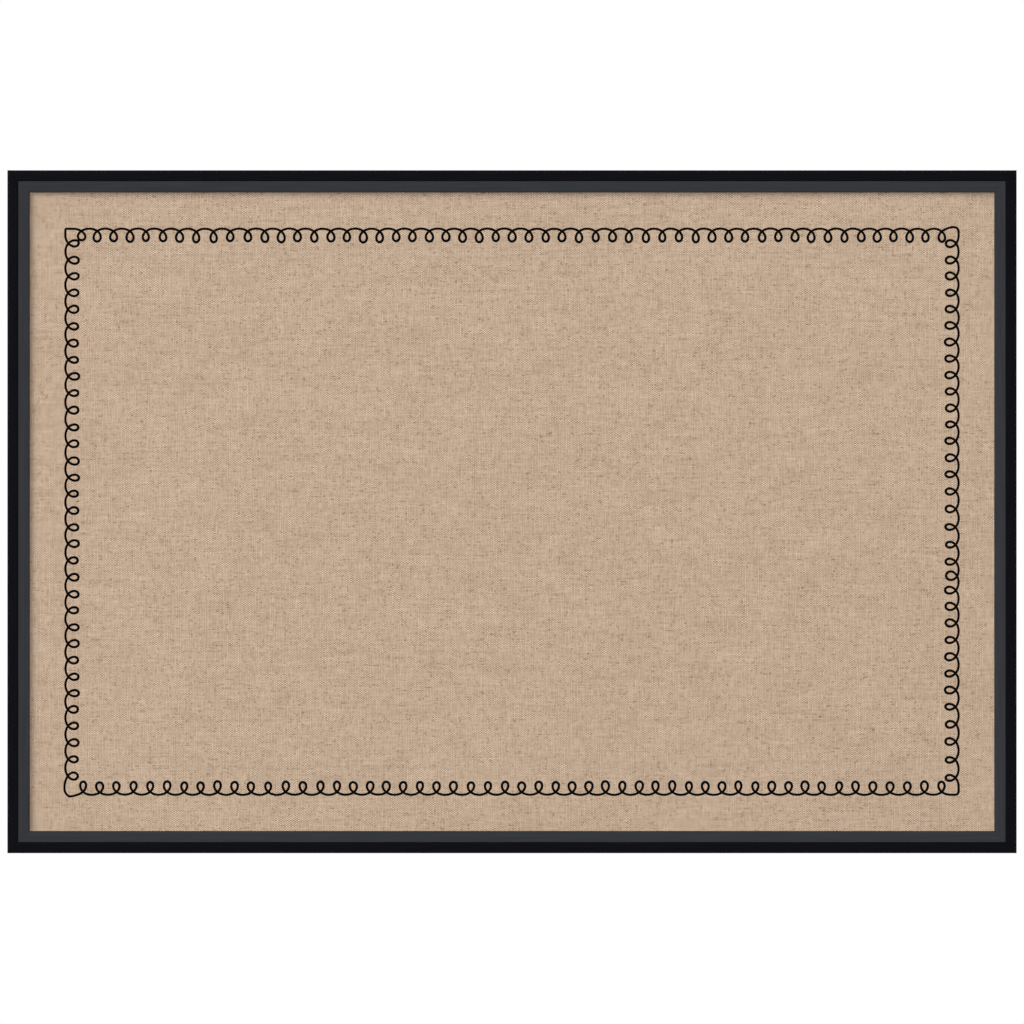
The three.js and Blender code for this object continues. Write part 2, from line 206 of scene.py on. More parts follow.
def mitred_bar(name, profile, turns):
    """A bar with 45 degree ends. A profile point is its distance in from the outer edge, and its height
    over the frame's back. The map runs along the bar and round the profile, in metres."""
    bm = bmesh.new()
    uv = bm.loops.layers.uv.new("bar")
    runs = profile_runs(profile)
    half_length, reach = side_lengths(turns, half_width, half_height)
    ends = []
    for sign in (-1, 1):
        half = [sign * (half_length - inset - MITRE_LINE) for inset, _ in profile]
        points = [(x, frame_back - h, reach - inset) for x, (inset, h) in zip(half, profile)]
        ends.append([bm.verts.new(p) for p in points])
    for i in range(len(profile)):
        j = (i + 1) % len(profile)
        face = bm.faces.new((ends[0][i], ends[0][j], ends[1][j], ends[1][i]))
        for loop, run in zip(face.loops, (runs[i], runs[i + 1], runs[i + 1], runs[i])):
            loop[uv].uv = (loop.vert.co.x + turns, run)
    for end in ends:
        bm.faces.new(end)
    bmesh.ops.recalc_face_normals(bm, faces=bm.faces)
    bm.transform(Matrix.Rotation(turns * math.pi / 2, 4, "Y"))
    return shaded_mesh(name, bm)


moulding_profile = [
    (0, 0),
    (rail_body, 0),
    (rail_body, ledge_height),
    (moulding_band, ledge_height),
    *arc((moulding_band - INNER_ROUND, rail_depth - INNER_ROUND), INNER_ROUND, 0, 90),
    *arc((OUTER_ROUND, rail_depth - OUTER_ROUND), OUTER_ROUND, 90, 180),
]
moulding_runs = profile_runs(moulding_profile)
outer_edge_run = moulding_runs[-2] - OUTER_ROUND * math.pi / 4
bare_end_run = moulding_runs[3]

# Satin black lacquer: sprayed over pine, so the grain shows only as faint lines in the gloss.
# Its corner is lighter: partly rubbed wear, partly a painted highlight on the rounding. A dead dark film,
# with less mirror than a clear varnish.
GRAIN_LENGTH = 0.04
GRAIN_WIDTH = 0.0014
OVERSPRAY = 0.0016
RAGS_PER_METRE = 260
RUB_HIGHLIGHT_WIDTH = 0.0009
RUB_HIGHLIGHT_PATCHES_PER_METRE = 90
BARE_PINE_ROUGHNESS = 0.85
NOISE_RANGE = (0.3, 0.7)
black_lacquer, add, shader = new_material("black_lacquer_on_pine")
bar_map = add("UVMap", uv_map="bar")
grain_place = add("VectorMath MULTIPLY", [bar_map, (1 / GRAIN_LENGTH, 1 / GRAIN_WIDTH, 1)])
grain = add("TexNoise", {"Vector": grain_place, "Scale": 1, "Detail": 4, "Roughness": 0.6})
run = add("SeparateXYZ", [bar_map], take="Y")
lacquer_colour = add("ValToRGB", [grain], stops=[(0.3, "#09080D"), (0.55, "#0C0B10"), (0.75, "#110F15")])
# Painted highlight: a lighter band, in rubbed patches, along the outer rounding, standing in for the light
# it catches as well as for wear.
from_edge = add("Math SUBTRACT", [run, outer_edge_run])
edge_distance = add("Math ABSOLUTE", [from_edge])
rub_highlight_band = add("MapRange", [edge_distance, 0, RUB_HIGHLIGHT_WIDTH, 1, 0])
rub_highlight_patches = add("TexNoise", {"Vector": bar_map, "Scale": RUB_HIGHLIGHT_PATCHES_PER_METRE, "Detail": 3})
rub_and_highlight = add("Math MULTIPLY", [rub_highlight_band, rub_highlight_patches])
rubbed_highlit_parts = {"Factor": rub_and_highlight, 6: lacquer_colour, 7: linear("#1F1D23")}
rubbed_highlit_colour = add("Mix", rubbed_highlit_parts, take=2, data_type="RGBA")
ragged = add("TexNoise", {"Vector": bar_map, "Scale": RAGS_PER_METRE, "Detail": 4})
ragged_run = add("Math MULTIPLY_ADD", [ragged, -2 * OVERSPRAY, run])
past_spray = add("MapRange", [ragged_run, -OVERSPRAY / 2, OVERSPRAY])
before_face = add("Math LESS_THAN", [run, bare_end_run])
bare = add("Math MULTIPLY", [past_spray, before_face])
pine_stops = [(0.25, "#8A6238"), (0.45, "#BC925C"), (0.6, "#CFAA74"), (0.8, "#DDBE8C")]
pine_colour = add("ValToRGB", [grain], stops=pine_stops)
bar_colour = add("Mix", {"Factor": bare, 6: rubbed_highlit_colour, 7: pine_colour}, take=2, data_type="RGBA")
satin = add("MapRange", [grain, *NOISE_RANGE, 0.36, 0.5])
set_inputs(shader, {
    "Base Color": bar_colour,
    "Roughness": add("Mix", {"Factor": bare, 2: satin, 3: BARE_PINE_ROUGHNESS}),
    "Normal": add("Bump", {"Height": grain, "Strength": 0.25, "Distance": 0.00008}),
    "Specular IOR Level": 0.03,
})

for side, turns in QUARTER_TURNS.items():
    mesh = mitred_bar(f"moulding_{side}", moulding_profile, turns)
    place_piece(f"moulding_{side}", mesh, black_lacquer, "board", [f"rail_{side}"])

# The corner nails
# Folded strips of bright steel, two to a corner, driven into the frame's back across each mitre.
# Only their thin edges show, a hair proud of the wood.
NAIL_LEG = 0.005
NAIL_HALF_THICKNESS = 0.0003
NAIL_HEIGHT = 0.008
NAIL_PROUD = 0.00005
CORNER_TURNS = {"bottom_left": 0, "top_left": 1, "top_right": 2, "bottom_right": 3}


def new_tree(name, output, inputs):
    """A tree with named inputs, the function that adds nodes to it, and the sockets of its inputs."""
    tree = bpy.data.node_groups.new(name, "GeometryNodeTree")
    for label, kind in inputs.items():
        tree.interface.new_socket(label, in_out="INPUT", socket_type=f"NodeSocket{kind}")
    tree.interface.new_socket(output, in_out="OUTPUT", socket_type="NodeSocketGeometry")
    add = partial(add_node, tree)
    return tree, add, add("NodeGroupInput").node.outputs


def end_tree(add, shape, material):
    """Ends a tree: copies become real mesh, the mesh gets its material."""
    whole = add("RealizeInstances", [shape])
    finished = add("SetMaterial", {"Geometry": whole, "Material": material})
    add("NodeGroupOutput", [finished])


def settle(worker, name):
    """The evaluated mesh of a working object, which is then removed."""
    scene.view_layers[0].update()
    graph = bpy.context.evaluated_depsgraph_get()
    mesh = bpy.data.meshes.new_from_object(worker.evaluated_get(graph))
    mesh.name = name
    bpy.data.objects.remove(worker)
    return mesh


def tree_mesh(name, tree, values, start):
    """The mesh that a tree makes from a starting mesh. Its other inputs are set by their identifiers."""
    worker = add_object(start.name, start)
    maker = worker.modifiers.new(tree.name, "NODES")
    maker.node_group = tree
    for socket in tree.interface.items_tree:
        if socket.name in values:
            maker[socket.identifier] = values[socket.name]
    return settle(worker, name)


# One tree sets copies of a piece on points, each turned about Y by its own angle.
copies_inputs = {"Points": "Geometry", "Piece": "Object", "Finish": "Material"}
copies_tree, add, given = new_tree("copies_on_points", "Copies", copies_inputs)
turn = add("InputNamedAttribute", {"Name": "turn"}, data_type="FLOAT")
rotation = add("CombineXYZ", {"Y": turn})
model = add("ObjectInfo", {"Object": given["Piece"]}, take="Geometry")
points = add("MeshToPoints", {"Mesh": given["Points"]})
copies = add("InstanceOnPoints", {"Points": points, "Instance": model, "Rotation": rotation})
end_tree(add, copies, given["Finish"])


def place_copies(name, model_mesh, places, material, nodes):
    """Places one piece with a copy of the model at each place, which is a point and a turn about Y."""
    points = bpy.data.meshes.new(f"{name}_places")
    points.from_pydata([point for point, _ in places], [], [])
    turns = points.attributes.new("turn", "FLOAT", "POINT")
    turns.data.foreach_set("value", [turn for _, turn in places])
    model = add_object(f"{name}_model", model_mesh)
    mesh = tree_mesh(name, copies_tree, {"Piece": model, "Finish": material}, points)
    bpy.data.objects.remove(model)
    place_piece(name, mesh, material, "board", nodes)


def join_rings(bm, rings, closed=False):
    """Faces between rings of as many points each, and back to the first if closed. Gives the vertices."""
    loops = [[bm.verts.new(point) for point in ring] for ring in rings]
    following = loops[1:] + loops[:1] if closed else loops[1:]
    for loop, after in zip(loops, following):
        for i in range(len(loop)):
            j = (i + 1) % len(loop)
            bm.faces.new((loop[i], loop[j], after[j], after[i]))
    return loops


def loft(name, rings, closed=False):
    """A skin over rings. It joins back to its first ring, or is capped."""
    bm = bmesh.new()
    loops = join_rings(bm, rings, closed)
    if not closed:
        bm.faces.new(loops[0])
        bm.faces.new(loops[-1])
    bmesh.ops.recalc_face_normals(bm, faces=bm.faces)
    return shaded_mesh(name, bm)


thin = NAIL_HALF_THICKNESS
nail_outline = [(-thin, -thin), (NAIL_LEG, -thin), (NAIL_LEG, thin)]
nail_outline += [(thin, thin), (thin, NAIL_LEG), (-thin, NAIL_LEG)]
nail_model = loft("corner_nail_model", [[(x, y, z) for x, z in nail_outline] for y in (0, -NAIL_HEIGHT)])
nail_places = []
nail_nodes = []
for corner, turns in CORNER_TURNS.items():
    for number in (1, 2):
        node = f"corner_nail_{corner}_{number}"
        low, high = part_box(node)
        x = low.x if "left" in corner else high.x
        z = low.z if "bottom" in corner else high.z
        inward = Vector((-math.copysign(1, x), 0, -math.copysign(1, z))) * NAIL_HALF_THICKNESS
        nail_places.append((Vector((x, frame_back + NAIL_PROUD, z)) + inward, turns * math.pi / 2))
        nail_nodes.append(node)

# Bright steel: sheared strip with fine marks across it and a breath of brown where it was handled.
STEEL_MARK = 0.0006
bright_steel, add, shader = new_material("bright_steel")
place = add("TexCoord", take="Object")
marks = add("TexNoise", {"Vector": place, "Scale": 1 / STEEL_MARK, "Detail": 3})
set_inputs(shader, {
    "Base Color": add("ValToRGB", [marks], stops=[(0.3, "#8F8A84"), (0.55, "#B5B4B2"), (0.75, "#C9C9C8")]),
    "Roughness": add("MapRange", [marks, *NOISE_RANGE, 0.45, 0.28]),
    "Metallic": 1,
})
place_copies("corner_nails", nail_model, nail_places, bright_steel, nail_nodes)

# The liner
# Four slimmer mitred bars that sit on a ledge inside the moulding and lip over the edge of the linen.
# Painted charcoal before they were glued in, so a fine dark line is left where the two meet.
LIP_THICKNESS = 0.005
SIGHT_ROUND = 0.0008
SHOULDER_ROUND = 0.0005
FACE_TURN = 87
face_width = half_height - liner_low.z
liner_front = frame_back - liner_low.y
liner_outer = moulding_band + LINER_GLUE_GAP
lip_front = liner_back + LIP_THICKNESS
liner_profile = [
    (liner_outer, liner_back),
    (face_width, liner_back),
    *arc((face_width - SIGHT_ROUND, lip_front - SIGHT_ROUND), SIGHT_ROUND, 0, FACE_TURN),
    *arc((liner_outer + SHOULDER_ROUND, liner_front - SHOULDER_ROUND), SHOULDER_ROUND, FACE_TURN, 180),
]

# Matt charcoal paint: brushed on, with long faint strokes and a fine tooth that kills the shine.
STROKE_LENGTH = 0.06
STROKE_WIDTH = 0.0022
TOOTH_PER_METRE = 900
charcoal_paint, add, shader = new_material("charcoal_paint_on_pine")
bar_map = add("UVMap", uv_map="bar")
stroke_place = add("VectorMath MULTIPLY", [bar_map, (1 / STROKE_LENGTH, 1 / STROKE_WIDTH, 1)])
strokes = add("TexNoise", {"Vector": stroke_place, "Scale": 1, "Detail": 3})
tooth = add("TexNoise", {"Vector": bar_map, "Scale": TOOTH_PER_METRE, "Detail": 2})
paint_tone = add("Mix", {"Factor": 0.35, 2: strokes, 3: tooth})
paint_stops = [(0.3, "#2F3033"), (0.5, "#333437"), (0.7, "#38393D")]
set_inputs(shader, {
    "Base Color": add("ValToRGB", [paint_tone], stops=paint_stops),
    "Roughness": add("MapRange", [tooth, *NOISE_RANGE, 0.52, 0.68]),
    "Normal": add("Bump", {"Height": paint_tone, "Strength": 0.3, "Distance": 0.00006}),
    "Specular IOR Level": 0.03,
})

for side, turns in QUARTER_TURNS.items():
    mesh = mitred_bar(f"liner_bar_{side}", liner_profile, turns)
    place_piece(f"liner_bar_{side}", mesh, charcoal_paint, "board", [f"liner_{side}"])

# The cork core
# A quarter-inch sheet of pressed cork granules, which takes the pins. It lies wholly inside the linen,
# so its plain sheet stays as it is and only gets its material.
# Cork: packed granules, each of its own brown, with dark seams sunk between them.
GRANULE = 0.0035
granulated_cork, add, shader = new_material("granulated_cork")
place = add("TexCoord", take="Object")
granules = add("TexVoronoi", {"Vector": place, "Scale": 1 / GRANULE}).node.outputs
granule_tone = add("SeparateColor", [granules["Color"]])
cork_stops = [(0, "#6E4526"), (0.4, "#A4744A"), (0.75, "#BF925F"), (1, "#D2AC7C")]
set_inputs(shader, {
    "Base Color": add("ValToRGB", [granule_tone], stops=cork_stops),
    "Normal": add("Bump", {"Height": granules["Distance"], "Strength": 0.5, "Distance": 0.0003}),
    "Roughness": 0.9,
})
cork_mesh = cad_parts["cork_core"].data
cork_mesh.materials.clear()
cork_mesh.materials.append(granulated_cork)

# The wadding
# A thin blanket of cotton wadding laid on the cork under the linen, to soften the face of the board.
# Its faces are lofty and uneven and its edges are teased thin.
WADDING_CELL = 0.012
LOFT = 0.00035
TUFT_WAVES = (190, 230)
SLOW_WAVES = (71, 53)
EDGE_SHARE = 0.35
EDGE_WIDTH = 0.02
wadding_low, wadding_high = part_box("wadding")
wadding_size = wadding_high - wadding_low
bm = bmesh.new()
columns = round(wadding_size.x / WADDING_CELL)
rows = round(wadding_size.z / WADDING_CELL)
bmesh.ops.create_grid(bm, x_segments=columns, y_segments=rows, size=0.5)
bm.transform(Matrix.Diagonal((wadding_size.x, wadding_size.z, 1, 1)))
bm.transform(Matrix.Rotation(math.pi / 2, 4, "X"))
bm.transform(Matrix.Translation((wadding_low + wadding_high) / 2))
half_thickness = {}
for vert in bm.verts:
    x, _, z = vert.co
    wave = math.sin(x * TUFT_WAVES[0]) * math.sin(z * TUFT_WAVES[1])
    wave += math.sin(x * SLOW_WAVES[0] + z * SLOW_WAVES[1])
    from_edge = min(wadding_size.x / 2 - abs(x), wadding_size.z / 2 - abs(z))
    teased = min(1, EDGE_SHARE + from_edge / EDGE_WIDTH)
    half_thickness[vert] = (wadding_size.y / 2 - LOFT * (1 + wave / 2) / 2) * teased
back_face = bmesh.ops.duplicate(bm, geom=bm.verts[:] + bm.edges[:] + bm.faces[:])
pairs = {a: b for a, b in back_face["vert_map"].items() if a in half_thickness}
rim = [edge for edge in bm.edges if edge.is_boundary and edge.verts[0] in pairs]
for low_vert, high_vert in pairs.items():
    low_vert.co.y += half_thickness[low_vert]
    high_vert.co.y -= half_thickness[low_vert]
for edge in rim:
    a, b = edge.verts
    bm.faces.new((a, b, pairs[b], pairs[a]))
bmesh.ops.recalc_face_normals(bm, faces=bm.faces)

# Cotton wadding: matted off-white fibre with a soft nap that scatters light at its edge.
FIBRES_PER_METRE = 420
cotton_wadding, add, shader = new_material("cotton_wadding")
place = add("TexCoord", take="Object")
fibres = add("TexNoise", {"Vector": place, "Scale": FIBRES_PER_METRE, "Detail": 6})
set_inputs(shader, {
    "Base Color": add("ValToRGB", [fibres], stops=[(0.3, "#D8D2C6"), (0.55, "#EAE5DB"), (0.8, "#F3F0E9")]),
    "Normal": add("Bump", {"Height": fibres, "Strength": 0.6, "Distance": 0.0004}),
    "Roughness": 1,
    "Sheen Weight": 0.3,
})
wadding_mesh = shaded_mesh("wadding_blanket", bm)
wadding_piece = place_piece("wadding_blanket", wadding_mesh, cotton_wadding, "board", ["wadding"])

# The linen cover
# One cut of natural linen, stretched over the wadding and the cork, folded round their edges and glued
# down in a hem on the back. Drawn as a skin that turns the edge in a small round, with its true thickness.
LINEN_THICKNESS = 0.0008
LINEN_HEM = 0.022
LINEN_FOLD = 0.0022
CORNER_FOLD = 0.003
CORNER_STEPS = 4
linen_low, linen_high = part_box("linen_cover")


def rounded_ring(inset, y):
    """A level ring of points round the panel, inset from its edge, with its four corners rounded."""
    radius = max(CORNER_FOLD - inset, CORNER_FOLD / 4)
    ring = []
    for quarter, (sx, sz) in enumerate(((1, 1), (-1, 1), (-1, -1), (1, -1))):
        centre = (sx * (linen_high.x - inset - radius), sz * (linen_high.z - inset - radius))
        corner_points = arc(centre, radius, 90 * quarter, 90 * quarter + 90, CORNER_STEPS)
        ring += [(x, y, z) for x, z in corner_points]
    return ring


wrap_path = [(LINEN_THICKNESS + LINEN_HEM, linen_high.y)]
for fold_y, start, end in ((linen_high.y - LINEN_FOLD, 90, 0), (linen_low.y + LINEN_FOLD, 0, -90)):
    wrap_path += [(LINEN_FOLD - out, y) for out, y in arc((0, fold_y), LINEN_FOLD, start, end)]
bm = bmesh.new()
wrap_loops = join_rings(bm, [rounded_ring(inset, y) for inset, y in wrap_path])
bm.faces.new(wrap_loops[-1])
bmesh.ops.recalc_face_normals(bm, faces=bm.faces)
if bm.faces[-1].normal.y > 0:
    bmesh.ops.reverse_faces(bm, faces=bm.faces)

# Natural linen: a plain weave of uneven flax yarns. Single threads are lighter or darker along their length,
# shreds of dark stalk lie in them both ways, and the odd fleck is nearly brown. The gaps between the yarns
# carry painted shade. Matt, with a faint nap.
# The yarns crowd together here and stand apart there. The weft is drawn a twentieth coarser than it is,
# because its yarns are only a pixel of the picture wide.
WARP_SPACING = 0.001402
WEFT_SPACING = 0.00099
CROWD_WIDTH = 0.008
CROWD_LENGTH = 0.06
CROWDING = {"X": 0.0024, "Z": 0.0017}
STREAK = 0.011
SLUB = 0.06
SHRED = 0.0042
FLECK = 0.0019
MOTTLE = 0.03
PATCH = 0.012
YARN_OVER = 0.4
YARN_UNDER = 0.95
WEFT_SHARES = (0.25, 0.75)
YARN_RELIEF = 0.8
MIDDLE_TONE = 0.5
oatmeal_linen, add, shader = new_material("oatmeal_linen")
place = add("TexCoord", take="Object")
place_parts = add("SeparateXYZ", [place]).node.outputs


def yarn_noise(add, yarn, run, length, detail):
    """A noise that differs from yarn to yarn, and over the length given along each of them."""
    stretched_run = add("Math DIVIDE", [run, length])
    yarn_place = add("CombineXYZ", {"X": yarn, "Y": stretched_run})
    return add("TexNoise", {"Vector": yarn_place, "Scale": 1, "Detail": detail}, noise_dimensions="2D")


crowded = {}
for yarns, along in (("X", "Z"), ("Z", "X")):
    crowd = add("Math DIVIDE", [place_parts[yarns], CROWD_WIDTH])
    crowd_noise = yarn_noise(add, crowd, place_parts[along], CROWD_LENGTH, detail=1)
    crowded[yarns] = add("Math MULTIPLY_ADD", [crowd_noise, CROWDING[yarns], place_parts[yarns]])
crowded_place = add("CombineXYZ", crowded)
threads = add("VectorMath DIVIDE", [crowded_place, (WARP_SPACING, 1, WEFT_SPACING)])
thread_number = add("VectorMath FLOOR", [threads])
across = add("VectorMath FRACTION", [threads])
half_turn = add("VectorMath MULTIPLY", [across, (math.pi, math.pi, math.pi)])
crown = add("VectorMath SINE", [half_turn])
crown_parts = add("SeparateXYZ", [crown]).node.outputs
number_parts = add("SeparateXYZ", [thread_number]).node.outputs
number_sum = add("Math ADD", [number_parts["X"], number_parts["Z"]])
weft_on_top = add("Math FLOORED_MODULO", [number_sum, 2])
shapes = []
for part, warp_top, weft_top in (("X", YARN_UNDER, YARN_OVER), ("Z", YARN_OVER, YARN_UNDER)):
    power = add("MapRange", [weft_on_top, 0, 1, warp_top, weft_top])
    shapes.append(add("Math POWER", [crown_parts[part], power]))
yarn_height = add("Math MULTIPLY", shapes)
yarn_noises = {}
for name, yarns, along, length, seed in (
    ("warp tone", "X", "Z", STREAK, 7.31),
    ("weft tone", "Z", "X", STREAK, 5.83),
    ("weft slub", "Z", "X", SLUB, 4.41),
    ("warp shred", "X", "Z", SHRED, 3.77),
    ("weft shred", "Z", "X", SHRED, 9.37),
):
    yarn_seed = add("Math MULTIPLY", [number_parts[yarns], seed])
    yarn_noises[name] = yarn_noise(add, yarn_seed, place_parts[along], length, detail=2)
weft_share = add("MapRange", [weft_on_top, 0, 1, *WEFT_SHARES])
yarn_tone = add("Mix", {"Factor": weft_share, 2: yarn_noises["warp tone"], 3: yarn_noises["weft tone"]})
spots = {}
for name, size in (("fleck", FLECK), ("mottle", MOTTLE), ("patch", PATCH)):
    spots[name] = add("TexNoise", {"Vector": place, "Scale": 1 / size, "Detail": 2})
clear_cut = {}
for name, noise, low, high in (
    ("warp shred", yarn_noises["warp shred"], 0.69, 0.75),
    ("weft shred", yarn_noises["weft shred"], 0.65, 0.71),
    ("fleck", spots["fleck"], 0.68, 0.73),
    ("patch", spots["patch"], 0.36, 0.64),
):
    clear_cut[name] = add("MapRange", [noise, low, high])
dark_or_light = add("Math SUBTRACT", [weft_on_top, 0.5])
two_tone = add("Math MULTIPLY", [dark_or_light, clear_cut["patch"]])
# What each noise adds to the tone, and the middle that it swings about.
shares = (
    (yarn_tone, 0.56, 0.5),
    (yarn_noises["weft slub"], 0.19, 0.5),
    (clear_cut["weft shred"], -0.26, 0.05),
    (clear_cut["warp shred"], -0.2, 0.03),
    (clear_cut["fleck"], -0.35, 0.015),
    (spots["mottle"], 0.1, 0.5),
    (two_tone, 0.48, 0),
    # Painted shade: the tone is darker where the yarn crowns fall away, in the gaps between the yarns.
    (yarn_height, 0.4, 0.65),
)
tone = MIDDLE_TONE - sum(share * middle for _, share, middle in shares)
for noise, share, _ in shares:
    tone = add("Math MULTIPLY_ADD", [noise, share, tone])
linen_stops = [(0, "#806A55"), (0.3, "#A58D76"), (0.5, "#BFA68F"), (0.7, "#D5BCA5"), (1, "#EAD5C0")]
linen_colour = add("ValToRGB", [tone], stops=linen_stops)
weave = add("Math MULTIPLY_ADD", [yarn_tone, YARN_RELIEF, yarn_height])
set_inputs(shader, {
    "Base Color": linen_colour,
    "Normal": add("Bump", {"Height": weave, "Strength": 0.3, "Distance": 0.00018}),
    "Roughness": 0.95,
    "Specular IOR Level": 0.05,
    "Sheen Weight": 0.05,
})

linen_skin = add_object("linen_skin", shaded_mesh("linen_skin", bm))
solidify = linen_skin.modifiers.new("thickness", "SOLIDIFY")
solidify.thickness = LINEN_THICKNESS
solidify.offset = -1
linen_mesh = settle(linen_skin, "linen_wrap")
linen_piece = place_piece("linen_wrap", linen_mesh, oatmeal_linen, "board", ["linen_cover"])

# The looped border
# One unbroken line of loops, printed on the linen in black ink about 33 mm inside the liner. The loops
# point inwards, drift along their side and lean a little unevenly, as if drawn by hand. The pen line
# thickens round each of them and slips at the corners.
SIGHT_TO_BORDER = Vector((0.0333, 0, 0.0338))
POINTS_PER_LOOP = 40
INK_SIDES = 6
CORNER_POINTS = 8
WOBBLES_PER_METRE = 36
SIDE_TOLERANCE = 0.0004
DEPTH_SPREAD = (0.95, 1.05)
ROLL_SPREAD = (0.94, 1.06)
LEAN_SPREAD = (-0.0005, 0.0005)
LOOP_COUNTS = {"top": 53, "right": 33, "bottom": 52, "left": 33}
FIRST_LOOPS = {"top": 0.0151, "right": 0.0136, "bottom": 0.0159, "left": 0.0178}
LAST_LOOPS = {"top": 0.0152, "right": 0.0148, "bottom": 0.0163, "left": 0.0130}
CORNER_ROUNDS = [0.0035, 0.0014, 0.0045, 0.0032]
# How far the loops have drifted, in millimetres, at each share of a side.
PEN_DRIFTS = {
    "top": [(0, 0), (0.1, -1.6), (0.25, 0.9), (0.4, 0.1), (0.74, 1.5), (0.9, 1.2), (1, -1.2)],
    "right": [(0, 0.5), (0.1, -0.5), (0.42, -3.1), (0.6, 0.6), (0.62, -3.8), (0.8, -4.9), (1, 0)],
    "bottom": [(0, -0.5), (0.15, 1.7), (0.3, 0.2), (0.48, -1.1), (0.6, 0), (0.7, -1.5), (0.8, 0), (1, 0)],
    "left": [(0, 0), (0.1, -0.3), (0.3, -1.3), (0.62, -1.4), (0.8, -0.2), (1, -0.9)],
}
PEN_DRIFT_SPAN = 0.02
# Where the pen slips: in from a corner by x and z, whose signs say which, and how far by x and z.
PEN_SLIPS = [
    (0.005, 0.0001, 0, 0.0013),
    (-0.004, -0.0001, 0, -0.0014),
    (-0.0001, -0.007, -0.001, 0),
    (-0.0165, 0.0105, 0.0003, 0.001),
]
PEN_SLIP_REACH = 0.009
border_half = Vector((half_width - face_width, 0, half_height - face_width)) - SIGHT_TO_BORDER
border_sizes = {
    "Width": 2 * border_half.x,
    "Height": 2 * border_half.z,
    "Linen Face": linen_low.y,
    "Loop Depth": 0.0121,
    "Loop Roll": 0.0061,
    "Arch Flatness": 0.07,
    "Loop Roundness": 0.0004,
    "Line Radius": 0.00124,
    "Line Gain": 0.1,
    "Ink Height": 0.00006,
    "Wobble": 0.0007,
}

# Screen ink: a dense black film that sinks into the weave, so it is matt and its face is faintly ribbed.
INK_RIB = 0.001
screen_ink, add, shader = new_material("black_screen_ink")
place = add("TexCoord", take="Object")
ribs = add("TexNoise", {"Vector": place, "Scale": 1 / INK_RIB, "Detail": 2})
set_inputs(shader, {
    "Base Color": add("ValToRGB", [ribs], stops=[(0.3, "#010101"), (0.7, "#060505")]),
    "Normal": add("Bump", {"Height": ribs, "Strength": 0.3, "Distance": 0.00005}),
    "Roughness": 0.9,
    "Specular IOR Level": 0.05,
})

# The border's tree: a rounded rectangle in the plane of the linen, whose points roll round each loop.
border_tree, add, given = new_tree("looped_border", "Border", dict.fromkeys(border_sizes, "Float"))
rectangle = add("CurvePrimitiveQuadrilateral", {"Width": given["Width"], "Height": given["Height"]})
corner = add("InputIndex")
corner_round = add("IndexSwitch", data_type="FLOAT").node
while len(corner_round.index_switch_items) < len(CORNER_ROUNDS):
    corner_round.index_switch_items.new()
set_inputs(corner_round, {"Index": corner, **dict(enumerate(CORNER_ROUNDS, start=1))})
fillet = {"Curve": rectangle, "Count": CORNER_POINTS, "Radius": corner_round.outputs[0]}
rounded = add("FilletCurve", fillet, mode="POLY")
way_round = 4 * (border_half.x + border_half.z)
loop_spacing = 2 * border_half.x / LOOP_COUNTS["top"]
point_count = round(way_round / loop_spacing * POINTS_PER_LOOP)
dense = add("ResampleCurve", {"Curve": rounded, "Count": point_count}, mode="COUNT")
path = add("Transform", {"Geometry": dense, "Rotation": (math.pi / 2, 0, 0)})
path = add("SetCurveRadius", {"Curve": path, "Radius": given["Line Radius"]})
position = add("InputPosition")
